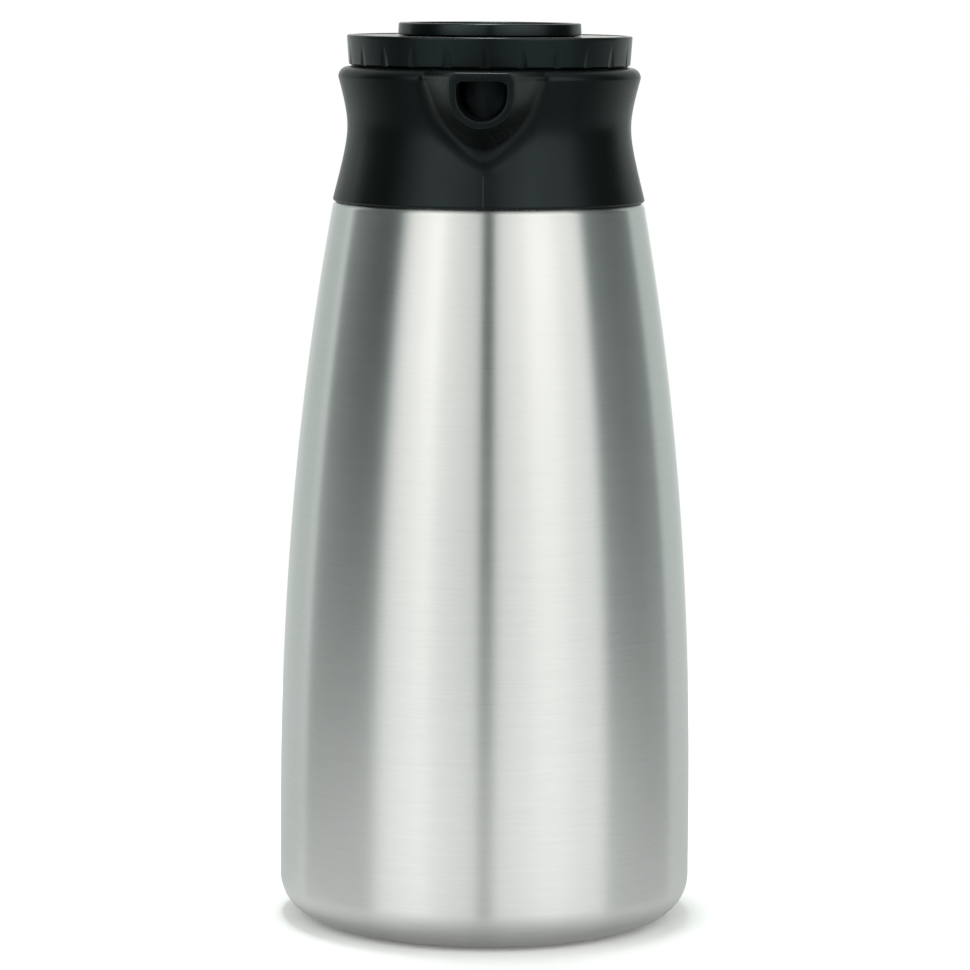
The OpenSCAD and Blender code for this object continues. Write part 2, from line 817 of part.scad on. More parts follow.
// A conical bowl whose neck sits over the valve's tube
module funnel() {
    color(black_color)
    rotate_extrude()
    polygon([
        [tube_out + 0.05, tube_top - socket_h], [tube_out + socket_wall, tube_top - socket_h],
        [tube_out + socket_wall, tube_top], [hole_rad + 0.2, hole_z - 3.4], [hole_wall, hole_z - 2],
        [hole_wall, hole_z], [hole_rad - 0.2, hole_z], [hole_rad - 0.4, hole_z - 2],
        [tube_rad, cone_z], [tube_rad, tube_top + 0.05], [tube_out + 0.05, tube_top + 0.05]
    ]);
}

// The tube under the funnel, with the valve's seat at its lower end
module valve_tube() {
    color(black_color)
    rotate_extrude()
    polygon([
        [orifice, tube_z], [tube_out, tube_z], [tube_out, tube_top], [tube_rad, tube_top],
        [tube_rad, tube_z + 2], [orifice, tube_z + 2]
    ]);
}

module valve_cage() {
    color(black_color)
    union() {
        rotate_extrude()
        polygon([
            [tube_out + 0.1, stopper_bottom - 4], [14, stopper_bottom - 4],
            [14, stopper_bottom - 2.5], [11.6, stopper_bottom - 2.5],
            [11.6, stopper_bottom + 2], [tube_out + 0.1, stopper_bottom + 2]
        ]);
        rotate_extrude()
        polygon([
            [3, cage_z], [cage_rad, cage_z], [cage_rad, cage_z + cage_floor], [3, cage_z + cage_floor]
        ]);
        for (i = [0:3])
            rotate([0, 0, 45 + i * 90])
            translate([cage_in, -1.5, cage_z])
            cube([cage_rad - cage_in - 0.2, 3, stopper_bottom - 3.5 - cage_z]);
    }
}

module float_valve() {
    low = cage_z + cage_floor + slack;
    color(seal_color)
    rotate_extrude()
    polygon([[0, low], [5.8, low], [float_rad, low + 0.8], [float_rad, low + 5.5], [2.6, low + 9.5],
        [0, low + 9.9]]);
}

module lid_gasket() {
    color(seal_color)
    rotate_extrude()
    polygon([
        [gasket_in, gasket_z], [gasket_rad - 0.4, gasket_z], [gasket_rad, gasket_z + 0.4],
        [gasket_rad, gasket_z + gasket_t - 0.4], [gasket_rad - 0.4, gasket_z + gasket_t],
        [gasket_in, gasket_z + gasket_t]
    ]);
}

module lid_screws() {
    color(screw_color)
    at_lid_screws(flange_z)
        rotate([180, 0, 0])
        screw(1.25, 5, 2.6, 1.5);
}

module hinge_pin() {
    color(screw_color)
    translate([-lug_out + 0.1, hinge_y, hinge_z])
    rotate([0, 90, 0])
    cylinder(h = 2 * lug_out - 0.2, r = pin_rad);
}

module flip_cap() {
    floor_z = cap_top - dish_depth;
    color(black_color)
    difference() {
        union() {
            rotate_extrude()
            polygon(concat(
                [[0, floor_z - 2], [plug_in, floor_z - 2], [plug_in, plug_z],
                 [plug_rad - 0.4, plug_z], [plug_rad, plug_z + 0.4],
                 [plug_rad, plug_z + 0.5], [plug_rad - 1, plug_z + 0.5],
                 [plug_rad - 1, plug_z + 2.3], [plug_rad, plug_z + 2.3],
                 [plug_rad, cap_foot - 0.9], [plug_rad + 1.2, cap_foot],
                 [cap_rad - 0.8, cap_foot], [cap_rad, cap_foot + 0.8]],
                arc(cap_rad - cap_draft - 0.7, cap_top - 0.7, 0.7, 0, 90, 4),
                arc(cap_rad - 2.2, cap_top - 0.5, 0.5, 90, 170, 3),
                [[plug_rad + 0.2, floor_z + 0.8], [plug_rad - 0.8, floor_z + 0.1], [0, floor_z]]
            ));
            translate([-barrel_half, arm_y, cap_foot])
            cube([2 * barrel_half, hinge_y - arm_y, hinge_z + 1.2 - cap_foot]);
            translate([-barrel_half, hinge_y, hinge_z])
            rotate([0, 90, 0])
            cylinder(h = 2 * barrel_half, r = barrel_rad);
        }
        translate([-far / 2, hinge_y, hinge_z])
        rotate([0, 90, 0])
        cylinder(h = far, r = pin_rad + bore_slack);
    }
}

module cap_seal() {
    color(seal_color)
    rotate_extrude()
    polygon([
        [plug_rad - 0.95, plug_z + 0.6], [seal_rad - 0.5, plug_z + 0.6], [seal_rad, plug_z + 1.1],
        [seal_rad, plug_z + 1.7], [seal_rad - 0.5, plug_z + 2.2], [plug_rad - 0.95, plug_z + 2.2]
    ]);
}

outer_shell();
inner_liner();
base_cup();
getter();
vacuum_seal();
base_pad();
collar();
throat_seal();
retaining_ring();
shoulder_gasket();
handle_grip();
handle_cover();
handle_top_screws();
handle_cover_screws();
lower_bracket();
lower_screw();
lid_gasket();
lid_cover();
stopper();
stopper_base();
stopper_foam();
funnel();
valve_tube();
valve_cage();
lid_screws();
hinge_pin();
flip_cap();
cap_seal();
float_valve();
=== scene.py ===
import math

import bmesh
import bpy
import numpy as np
from mathutils import Matrix, Vector


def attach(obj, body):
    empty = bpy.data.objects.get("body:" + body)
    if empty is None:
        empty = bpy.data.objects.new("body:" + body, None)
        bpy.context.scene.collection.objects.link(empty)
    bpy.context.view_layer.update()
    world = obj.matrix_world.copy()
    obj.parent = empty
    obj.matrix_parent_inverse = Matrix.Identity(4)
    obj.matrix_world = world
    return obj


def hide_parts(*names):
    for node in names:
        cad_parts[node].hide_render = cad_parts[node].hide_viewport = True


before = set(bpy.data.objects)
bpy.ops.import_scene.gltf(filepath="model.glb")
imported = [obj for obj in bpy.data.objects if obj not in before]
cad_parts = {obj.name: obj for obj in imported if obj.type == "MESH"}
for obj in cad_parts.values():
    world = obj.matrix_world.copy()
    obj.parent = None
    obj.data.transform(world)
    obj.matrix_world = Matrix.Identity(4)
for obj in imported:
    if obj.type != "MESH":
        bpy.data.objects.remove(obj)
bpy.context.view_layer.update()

# Sizes are in millimetres until surface() turns them into metres.
MM = 0.001

# ---- Sizes that the solids have too ----

BODY_RAD = 67.2
BELLY_Z = 30.0
SHOULDER_Z = 235.0
SHOULDER_DROP = 17.0
SHOULDER_BEND = 2.4
BODY_CURVE = 2.19
BASE_CORNER = 13.0
BASE_OPENING = 51.0
FOOT_GAP = 0.8
STEEL_T = 0.7
NECK_RAD = 42.0
NECK_BEAD_RAD = 42.9

WAIST_RAD = 45.9
WAIST_Z = 259.0
WAIST_SOFT = 7.8
FLARE_UP = 0.30
FLARE_DOWN = 0.272
COLLAR_Z = 234.8
COLLAR_TOP = 278.1
COLLAR_ROUND = 3.3
THROAT_RAD = 43.5

SPOUT_REACH = 67.0
SPOUT_HALF = 10.05
SPOUT_WALL = 2.35
SPOUT_ROOF = 2.75
SPOUT_TOP = 277.9
SPOUT_H = 17.2
SPOUT_CORNER = 2.2

LID_RAD = 46.1
SKIRT_RAD = 45.45
LID_TOP = 288.0
LID_T = 2.2
LID_Z = 278.8
LID_EDGE = 0.6
OPENING_RAD = 27.4
OPENING_Z = 283.4
FLUTES = 24
FLUTE_RAD = 5.0
BEAD_H = 0.3

CAP_RAD = 29.6
CAP_TOP = 292.3
CAP_FOOT = 288.3
DISH_DEPTH = 5.8
HINGE_Y = 33.0
HINGE_Z = 289.9
PIN_RAD = 1.0
BARREL_RAD = 2.1
LUG_W = 3.5
POCKET_HALF = 7.0

HANDLE_W = 27.0
HANDLE_T = 17.0
HANDLE_ROUND = 6.5
HANDLE_WALL = 2.6
BOSS_END = 50.5
UPPER_ARM_Z = 257.0
UPPER_ARM_Y = 72.0
UPPER_BEND = 24.0
LOWER_BEND = 22.0
GRIP_LEN = 84.0
GRIP_LEAN = 7.0
# From each end of the grip's straight part to the cover's screw.
SCREW_INSET = 16.0
LOW_SCREW_Y = 76.0

# ---- Sizes of the scene's own flutes, fillets, roundings and gaps ----

# The flutes are shallower than the solids', and they end just below the lid's top edge.
FLUTE_DEPTH = 0.36
FLUTE_TOP_DEPTH = -0.05
# Half the angle, in radians, that the finer steps at each flute cover.
FLUTE_ANGLE = 0.056
# The inner step of the lid's skirt hangs this far below the outer.
SKIRT_STEP = 0.45

COLLAR_EDGE = 0.8
SPOUT_RIM_EDGE = 0.5
# The spout's root is its outline on the collar. This is the root's lowest height.
SPOUT_LOW_Z = 252.2
# The root is wider than the rim by this share at its top. Down to its bottom the share shrinks
# by the pinch, by a power of the depth.
SPOUT_SPREAD = 1.0
SPOUT_PINCH = 1.12
SPOUT_PINCH_POWER = 1.35
# The fillet's size at the root's top, what the sides add to it and what the bottom adds.
FILLET_TOP = 0.7
FILLET_SIDE = 3.4
FILLET_LOW = 3.2

HANDLE_EDGE = 0.4
HANDLE_GAP = 0.1
BODY_GAP = 0.4
BOSS_FILLET = 2.6

# ---- How the scene's surfaces meet ----

CREASE = 40.0
FRONT, BACK = -1, 1
# A blend's last ring but one stands this far off the collar, and its last is sunk this deep in it.
LIFT = 0.02
SINK = 1.2


# ---- Mesh tools ----

def surface(name, points, uv=None, wrap_rows=False, wrap_columns=False, crease=CREASE):
    """A mesh over a grid of points, with a quad between each two rows and two columns.

    An axis that wraps is joined end to end. uv holds one value per row and one per column, with
    one more where the axis wraps. Corners sharper than crease degrees stay crisp.
    """
    rows, columns = points.shape[:2]
    row = np.arange(rows if wrap_rows else rows - 1)
    column = np.arange(columns if wrap_columns else columns - 1)
    a, b = (grid.ravel() for grid in np.meshgrid(row, column, indexing="ij"))
    c, d = (a + 1) % rows, (b + 1) % columns
    quads = np.stack([a * columns + b, c * columns + b, c * columns + d, a * columns + d], -1)
    mesh = bpy.data.meshes.new(name)
    mesh.from_pydata((points.reshape(-1, 3) * MM).tolist(), [], quads.tolist())
    if uv is not None:
        u, v = uv
        corners = np.stack([
            np.stack([u[a], v[b]], -1), np.stack([u[a + 1], v[b]], -1),
            np.stack([u[a + 1], v[b + 1]], -1), np.stack([u[a], v[b + 1]], -1)], 1)
        layer = mesh.uv_layers.new(name="along_and_round")
        layer.data.foreach_set("uv", corners.reshape(-1).astype(np.float32))
    work = bmesh.new()
    work.from_mesh(mesh)
    bmesh.ops.remove_doubles(work, verts=work.verts, dist=0.000002)
    bmesh.ops.dissolve_degenerate(work, edges=work.edges, dist=0.000001)
    bmesh.ops.recalc_face_normals(work, faces=work.faces)
    work.to_mesh(mesh)
    work.free()
    shade_smooth(mesh, crease)
    piece = bpy.data.objects.new(name, mesh)
    bpy.context.scene.collection.objects.link(piece)
    return piece


def shade_smooth(mesh, crease):
    """Smooth shading, except across corners sharper than crease degrees."""
    mesh.polygons.foreach_set("use_smooth", np.ones(len(mesh.polygons), bool))
    mesh.set_sharp_from_angle(angle=math.radians(crease))


def unit(vectors):
    """Vectors scaled to a length of 1."""
    return vectors / np.linalg.norm(vectors, axis=-1, keepdims=True)


def arc(across, up, radius, first, last, steps):
    """Points of an arc about (across, up), from one angle in degrees to another."""
    turn = np.radians(np.linspace(first, last, steps))
    return np.stack([across + radius * np.cos(turn), up + radius * np.sin(turn)], -1)


def between(start, end, parts):
    """The points that divide the way from start to end into equal parts, without its ends."""
    t = np.linspace(0, 1, parts + 1)[1:-1, None]
    return start * (1 - t) + end * t


def divided(outline, parts):
    """A closed outline whose steps are each divided into a number of equal parts."""
    step = np.repeat(np.arange(len(outline)), parts)
    t = (np.arange(len(step)) - (np.cumsum(parts) - parts)[step]) / parts[step]
    return outline[step] + (np.roll(outline, -1, 0) - outline)[step] * t[:, None]


def outward_of(outline):
    """The direction out of a closed flat outline, at each of its points."""
    along = np.roll(outline, -1, 0) - np.roll(outline, 1, 0)
    outward = unit(np.stack([along[:, 1], -along[:, 0]], -1))
    return outward * np.sign(np.sum(outward * (outline - outline.mean(0)), 1, keepdims=True))


def rounded(corners, steps):
    """The outline through corners (x, y, radius): each becomes an arc that touches both its sides."""
    place = np.array([corner[:2] for corner in corners], float)
    outline = []
    for i, (_, _, radius) in enumerate(corners):
        here = place[i]
        if radius == 0:
            outline.append(here[None])
            continue
        back = unit(place[i - 1] - here)
        ahead = unit(place[(i + 1) % len(corners)] - here)
        half = 0.5 * math.acos(np.clip(back @ ahead, -1, 1))
        centre = here + unit(back + ahead) * radius / math.sin(half)
        start = here + back * radius / math.tan(half) - centre
        end = here + ahead * radius / math.tan(half) - centre
        first = math.atan2(start[1], start[0])
        turn = math.atan2(start[0] * end[1] - start[1] * end[0], start @ end)
        angle = first + turn * np.linspace(0, 1, steps + 1)
        outline.append(centre + radius * np.stack([np.cos(angle), np.sin(angle)], -1))
    return np.concatenate(outline)


def lengths(outline):
    """Distance along an outline at each of its points."""
    step = np.linalg.norm(np.diff(outline, axis=0), axis=1)
    return np.concatenate([[0], np.cumsum(step)])


def turned(name, outline, angles, relief=None, closed=True, crease=CREASE):
    """A surface of revolution: an outline of (radius, height) points swept round +Z.

    relief(radius, height, angle) gives what is added to the radius. The UV map holds the
    millimetres along the outline and round it.
    """
    radius, angle = np.meshgrid(outline[:, 0], angles, indexing="ij")
    height = np.repeat(outline[:, 1][:, None], len(angles), 1)
    if relief is not None:
        radius = radius + relief(radius, height, angle)
    points = np.stack([radius * np.cos(angle), radius * np.sin(angle), height], -1)
    along = lengths(np.concatenate([outline, outline[:1]]))
    around = np.append(angles, angles[0] + 2 * math.pi) * outline[:, 0].max()
    return surface(name, points, (along * MM, around * MM), closed, True, crease)


def round_angles(count, dense=()):
    """Equal steps round the axis, with finer steps about each (middle, half width, steps)."""
    angles = [np.arange(count) * 2 * math.pi / count]
    for middle, half, steps in dense:
        angles.append((middle + half * np.linspace(-1, 1, steps)) % (2 * math.pi))
    return np.unique(np.round(np.concatenate(angles), 6))


# ---- Forms of the vessel ----

def body_radius(z):
    """Outside radius of the steel body: it draws in from the belly by a power of the height."""
    rise = np.clip((z - BELLY_Z) / (SHOULDER_Z - BELLY_Z), 0, None)
    return BODY_RAD - SHOULDER_DROP * rise ** BODY_CURVE


def collar_radius(z):
    """Outside radius of the collar: a hyperbola each way from the waist."""
    flare = np.where(z > WAIST_Z, FLARE_UP, FLARE_DOWN)
    return WAIST_RAD + flare * (np.hypot(z - WAIST_Z, WAIST_SOFT) - WAIST_SOFT)


def shell_side(inset):
    """The shell's side from the base's opening up to the mouth, drawn in by an inset."""
    corner_z = FOOT_GAP + BASE_CORNER
    bend_z = SHOULDER_Z - SHOULDER_BEND
    foot = arc(BODY_RAD - BASE_CORNER, corner_z, BASE_CORNER - inset, -90, 0, 25)
    z = np.linspace(corner_z + 4, bend_z, 90)
    side = np.stack([body_radius(z) - inset, z], -1)
    bend = arc(body_radius(bend_z) - SHOULDER_BEND, bend_z, SHOULDER_BEND - inset, 12, 90, 12)
    neck = np.array([
        [46.2, SHOULDER_Z - inset], [NECK_RAD, 241.2], [NECK_RAD, 247.6], [NECK_BEAD_RAD, 248.4],
        [NECK_BEAD_RAD, 249.8], [NECK_RAD, 250.6], [NECK_RAD, 251.2]]) - [inset, 0]
    return np.concatenate([[[BASE_OPENING, FOOT_GAP + inset]], foot, side, bend, neck])


def make_outer_shell():
    """The brushed steel body: both faces of the sheet in one closed outline, turned."""
    outline = np.concatenate([shell_side(0), shell_side(STEEL_T)[::-1]])
    return turned("shell_skin", outline, round_angles(256), crease=50)


# ---- Forms of the collar and spout ----

def collar_side():
    """The collar's outside from its bottom edge, up over its rounded top and in along the flat."""
    bottom = COLLAR_Z + COLLAR_EDGE
    shoulder_z = COLLAR_TOP - COLLAR_ROUND
    foot = arc(collar_radius(bottom) - COLLAR_EDGE, bottom, COLLAR_EDGE, -90, 0, 7)
    z = np.linspace(bottom + 0.6, shoulder_z - 0.6, 70)
    side = np.stack([collar_radius(z), z], -1)
    shoulder = arc(collar_radius(shoulder_z) - COLLAR_ROUND, shoulder_z, COLLAR_ROUND, 0, 90, 14)
    return np.concatenate([foot, side, shoulder, [[THROAT_RAD + 0.9, COLLAR_TOP]]])


COLLAR_SIDE = collar_side()
COLLAR_S = lengths(COLLAR_SIDE)


def collar_s(z):
    """Distance along the collar's side to a height on it."""
    return np.interp(z, COLLAR_SIDE[:-1, 1], COLLAR_S[:-1])


def on_collar(place, side):
    """Points on the collar's outside, in front or behind, at places (x, distance along its side)."""
    x, s = place.T
    radius = np.interp(s, COLLAR_S, COLLAR_SIDE[:, 0])
    z = np.interp(s, COLLAR_S, COLLAR_SIDE[:, 1])
    return np.stack([x, side * np.sqrt(radius ** 2 - x ** 2), z], -1)


def collar_normal(place, side):
    """The collar's outward direction at places (x, distance along its side)."""
    step = 0.02
    here = on_collar(place, side)
    across = on_collar(place + [step, 0], side) - here
    up = on_collar(place + [0, step], side) - here
    return unit(np.cross(across, up) * -side)


def parting_relief(radius, height, angle):
    """The mould's parting line: a ridge a few hundredths high down the middle under the spout.

    Its height falls off across it as a bell curve and ends below the spout as a soft step.
    """
    ridge_h, ridge_half, ridge_top = 0.07, 0.14, 253.0
    across = radius * np.cos(angle)
    front = (np.sin(angle) < 0) & (radius > THROAT_RAD + 2)
    low = 1 / (1 + np.exp((height - ridge_top) * 2))
    return ridge_h * front * low * np.exp(-(across / ridge_half) ** 2)


def make_collar():
    """The collar: its side, then the throat, the web round the neck and the skirt's inside."""
    inside = np.array([
        [THROAT_RAD + 0.4, COLLAR_TOP - 0.15], [THROAT_RAD, COLLAR_TOP - 0.7], [THROAT_RAD, 254.3],
        [44.8, 253], [44.8, 246.3], [43.1, 246.3], [43.1, 242.8], [46.6, 242.8], [46.6, 237.1],
        [48.6, 237.1], [48.6, COLLAR_Z + 1.6], [49.6, COLLAR_Z + 0.2]])
    outline = np.concatenate([COLLAR_SIDE, inside])
    angles = round_angles(360, [(1.5 * math.pi, 0.008, 17)])
    piece = turned("collar_skin", outline, angles, parting_relief)
    far, near = (d_ring(SPOUT_WALL - 0.4, y) for y in (-SPOUT_REACH - 5, -30))
    ends = [shrunk(ring, SPOUT_TOP - SPOUT_H / 2) for ring in (far, near)]
    way = surface("spout_way", np.stack([ends[0], far, near, ends[1]]), wrap_columns=True)
    return carve(piece, way)


def carve(piece, *cutters):
    """Cuts other shapes out of a piece and keeps the result as its own mesh."""
    for cutter in cutters:
        cut = piece.modifiers.new("cut", "BOOLEAN")
        cut.operation = "DIFFERENCE"
        cut.solver = "EXACT"
        cut.object = cutter
    ready = piece.evaluated_get(bpy.context.evaluated_depsgraph_get())
    mesh = bpy.data.meshes.new_from_object(ready)
    piece.modifiers.clear()
    piece.data = mesh
    shade_smooth(mesh, CREASE)
    for cutter in cutters:
        bpy.data.objects.remove(cutter)
    return piece


def shrunk(ring, z):
    """A ring drawn together into one point at its own Y, which closes the end of a shape."""
    return ring * [0, 1, 0] + [0, 0, z]


def d_outline(inset):
    """The spout's outline from the front, drawn in: a flat top, rounded corners, a round bottom."""
    half, corner = SPOUT_HALF - inset, SPOUT_CORNER - inset * 0.15
    top = SPOUT_TOP - inset * SPOUT_ROOF / SPOUT_WALL
    middle = SPOUT_TOP - SPOUT_H + SPOUT_HALF
    right = arc(half - corner, top - corner, corner, 90, 0, 9)
    bottom = arc(0, middle, half, 0, -180, 57)
    left = arc(corner - half, top - corner, corner, 180, 90, 9)
    return np.concatenate([right, between(right[-1], bottom[0], 4), bottom,
                           between(bottom[-1], left[0], 4), left, between(left[-1], right[0], 14)])


def d_ring(inset, y):
    """The spout's outline as points at a distance along Y."""
    x, z = d_outline(inset).T
    return np.stack([x, np.full_like(x, y), z], -1)


def hermite(start, lead, end, arrive, steps):
    """Rings from a start outline to an end outline, leaving along lead and ending along arrive."""
    t = np.linspace(0, 1, steps)[:, None, None]
    return ((2 * t ** 3 - 3 * t ** 2 + 1) * start + (t ** 3 - 2 * t ** 2 + t) * lead
            + (3 * t ** 2 - 2 * t ** 3) * end + (t ** 3 - t ** 2) * arrive)


def blend_onto_collar(start, lead, foot, landing, side):
    """Rings from a start outline to a landing that is tangent to the collar, and a sunk last ring.

    foot and landing are (x, distance along the collar's side). The rings arrive along the mean of
    the way from foot to landing and the landing's own outward direction.
    """
    way = landing - foot
    reach = np.linalg.norm(way, axis=1, keepdims=True)
    heading = unit(way / np.maximum(reach, 1e-6) + outward_of(landing))
    step = 0.02
    place = on_collar(landing, side)
    arrive = (place - on_collar(landing - heading * step, side)) / step
    normal = collar_normal(landing, side)
    rings = hermite(start, lead, place + normal * LIFT, arrive * np.maximum(reach, 2.0), 40)
    return np.concatenate([rings, [place - normal * SINK]])


def bent(start, corner, end, steps):
    """Rings that round off a corner: from start to end, drawn towards the corner between them."""
    t = np.linspace(0, 1, steps)[:, None, None]
    return (1 - t) ** 2 * start + 2 * t * (1 - t) * corner + t ** 2 * end


def make_spout():
    """The spout: its channel, its rounded rim, almost straight sides and a fillet on the collar.

    The sides' root on the collar is a shield: the rim's outline, spread out most at its top. The
    fillet leaves the side short of the root and lands on the collar as far beyond it.
    """
    x, z = d_outline(0).T
    depth = np.clip((SPOUT_TOP - z) / SPOUT_H, 0, 1)
    spread = SPOUT_SPREAD - SPOUT_PINCH * depth ** SPOUT_PINCH_POWER
    root = np.stack([x * (1 + spread), collar_s(SPOUT_TOP - depth * (SPOUT_TOP - SPOUT_LOW_Z))], -1)
    fillet = (FILLET_TOP + FILLET_SIDE * np.clip(depth * 4, 0, 1) + FILLET_LOW * depth ** 2)[:, None]
    landing = root + outward_of(root) * fillet
    place, end = on_collar(root, FRONT), on_collar(landing, FRONT)
    normal = collar_normal(landing, FRONT)
    edge = SPOUT_RIM_EDGE
    start = d_ring(0, edge - SPOUT_REACH)
    way_back = place - start
    last = 1 - fillet / np.linalg.norm(way_back, axis=1, keepdims=True)
    t = np.linspace(0, 1, 14)[:, None, None] * last
    side = start + way_back * [0, 1, 0] * t + way_back * [1, 0, 1] * (0.2 * t ** 1.5 + 0.8 * t)
    outside = np.concatenate([side, bent(side[-1], place, end + normal * LIFT, 14)[1:],
                              [end - normal * SINK]])
    turn = np.radians(np.linspace(0, 90, 6))
    lip = [d_ring(SPOUT_WALL - edge * (1 - math.cos(a)), edge * (1 - math.sin(a)) - SPOUT_REACH)
           for a in turn]
    brow = [d_ring(edge * (1 - math.sin(a)), edge * (1 - math.cos(a)) - SPOUT_REACH) for a in turn[:-1]]
    way = [d_ring(SPOUT_WALL, y) for y in (-46, -52, -58)]
    throat = [d_ring(inset, 0) for inset in (SPOUT_WALL - 0.8, SPOUT_WALL)]
    for ring in throat:
        ring[:, 1] = -np.sqrt((THROAT_RAD + 0.4) ** 2 - ring[:, 0] ** 2)
    points = np.concatenate([np.stack(way + lip + brow), outside, np.stack(throat)])
    return surface("spout_skin", points, wrap_rows=True, wrap_columns=True, crease=60)


def make_nibs():
    """The two flow marks on the spout's rim: low ridges where the mould's halves met."""
    turn, down = np.meshgrid(np.linspace(0, 2 * math.pi, 25)[:-1], np.linspace(0, math.pi, 13),
                             indexing="ij")
    ridge = np.stack([0.22 * np.sin(down) * np.cos(turn), 0.16 * np.sin(down) * np.sin(turn),
                      0.95 * np.cos(down)], -1)
    heights = {"spout_nib_top": SPOUT_TOP - 1.5, "spout_nib_low": SPOUT_TOP - SPOUT_H + 1.2}
    return [surface(name, ridge + [-0.6, 0.02 - SPOUT_REACH, z], wrap_rows=True)
            for name, z in heights.items()]


# ---- Forms of the lid and its cap ----

def lid_relief(radius, height, angle):
    """The finger flutes: round hollows, deepest at the skirt's bottom, that fade out upwards."""
    pitch = 2 * math.pi / FLUTES
    turn = ((angle / pitch + 0.5) % 1 - 0.5) * pitch
    lean = (LID_RAD - FLUTE_TOP_DEPTH - SKIRT_RAD + FLUTE_DEPTH) / (LID_TOP - LID_EDGE - LID_Z)
    middle = FLUTE_RAD + SKIRT_RAD - FLUTE_DEPTH + lean * (height - LID_Z)
    across = middle * np.sin(turn)
    hollow = middle * np.cos(turn) - np.sqrt(np.maximum(FLUTE_RAD ** 2 - across ** 2, 0))
    cut = (radius > SKIRT_RAD - 0.5) & (np.abs(across) < FLUTE_RAD)
    return np.where(cut, np.minimum(hollow - radius, 0), 0)


def make_lid():
    """The lid's cover: a flat top in a low bead, a tapered skirt and the filling opening."""
    bead = LID_TOP + BEAD_H
    step_z = LID_Z - SKIRT_STEP
    outline = rounded([
        (OPENING_RAD, LID_TOP, 0.35), (44.1, LID_TOP, 0.3), (44.5, bead, 0.2),
        (LID_RAD + 0.02, bead, LID_EDGE), (SKIRT_RAD, LID_Z, 0.4), (44.8, LID_Z, 0.1),
        (44.6, step_z, 0.1), (43.6, step_z, 0.2), (43.6, LID_TOP - LID_T, 0.4),
        (29.6, LID_TOP - LID_T, 0), (29.6, OPENING_Z, 0.1), (OPENING_RAD, OPENING_Z, 0.1)], 8)
    # The skirt's side is the one long step out there. It needs rows of points for the flutes.
    long_step = np.linalg.norm(np.diff(outline, axis=0, append=outline[:1]), axis=1) > 4
    outline = divided(outline, np.where(long_step & (outline[:, 0] > SKIRT_RAD), 15, 1))
    flutes = [(i * 2 * math.pi / FLUTES, FLUTE_ANGLE, 21) for i in range(FLUTES)]
    piece = turned("lid_skin", outline, round_angles(FLUTES * 8, flutes), lid_relief, crease=30)
    pocket = extruded("hinge_pocket", rounded([
        (29.4, 287.5, 0.2), (36.6, 287.5, 0.2), (36.6, 291, 0), (29.4, 291, 0)], 4),
        -POCKET_HALF, POCKET_HALF, 0.05)
    return carve(piece, pocket)


def extruded(name, outline, low, high, edge):
    """An outline of (y, z) points carried along X, with its end corners rounded by edge."""
    ahead = np.roll(outline, -1, 0) - np.roll(outline, 1, 0)
    inward = unit(np.stack([-ahead[:, 1], ahead[:, 0]], -1))
    middle = outline.mean(0)
    inward *= np.sign(np.mean(np.sum(inward * (middle - outline), 1)))
    turn = np.linspace(0, math.pi / 2, 4)
    back, inset = edge * (1 - np.sin(turn)), edge * (1 - np.cos(turn))
    x = np.concatenate([[low], low + back[::-1], high - back, [high]])
    end = np.broadcast_to(middle, (1, *outline.shape))
    rings = np.concatenate([
        end, outline + inward * np.concatenate([inset[::-1], inset])[:, None, None], end])
    across = np.broadcast_to(x[:, None, None], (*rings.shape[:2], 1))
    return surface(name, np.concatenate([across, rings], -1), wrap_columns=True)


def placed(name, outline, place, axis):
    """A small turned shape about an axis through a place. Its outline starts and ends on the axis."""
    axis = unit(np.array(axis, float))
    side = unit(np.cross(axis, [1.0, 0, 0] if abs(axis[0]) < 0.9 else [0, 1.0, 0]))
    angle = np.linspace(0, 2 * math.pi, 65)[:-1]
    round_way = np.cos(angle)[:, None] * side + np.sin(angle)[:, None] * np.cross(axis, side)
    points = np.array(place) + outline[:, 0, None, None] * round_way + outline[:, 1, None, None] * axis
    return surface(name, points, wrap_columns=True)


def hole(name, place, axis, radius, depth):
    """A cutter for a round hole that runs back from a place against the axis, with a chamfer."""
    chamfer = 0.3
    mouth = radius + 2 * chamfer
    outline = np.array([[0, -depth], [radius, -depth], [radius, -chamfer], [mouth, chamfer],
                        [mouth, 4], [0, 4]])
    return placed(name, outline, place, axis)


def make_lugs():
    """The two ears on the lid that hold the hinge pin, with the pin's holes through them."""
    foot = [[HINGE_Y - 2.3, 287], [HINGE_Y, 287], [HINGE_Y + 3, 287]]
    outline = np.concatenate([foot, arc(HINGE_Y, HINGE_Z, BARREL_RAD, 0, 180, 25)])
    face = POCKET_HALF + LUG_W
    pieces = []
    for name, low, way in (("lug_right", POCKET_HALF, 1), ("lug_left", -face, -1)):
        lug = extruded("hinge_" + name, outline, low, low + LUG_W, 0.3)
        pin_way = hole("pin_way", (way * face, HINGE_Y, HINGE_Z), (way, 0, 0), PIN_RAD + 0.03, 1.5)
        pieces.append(carve(lug, pin_way))
    return pieces


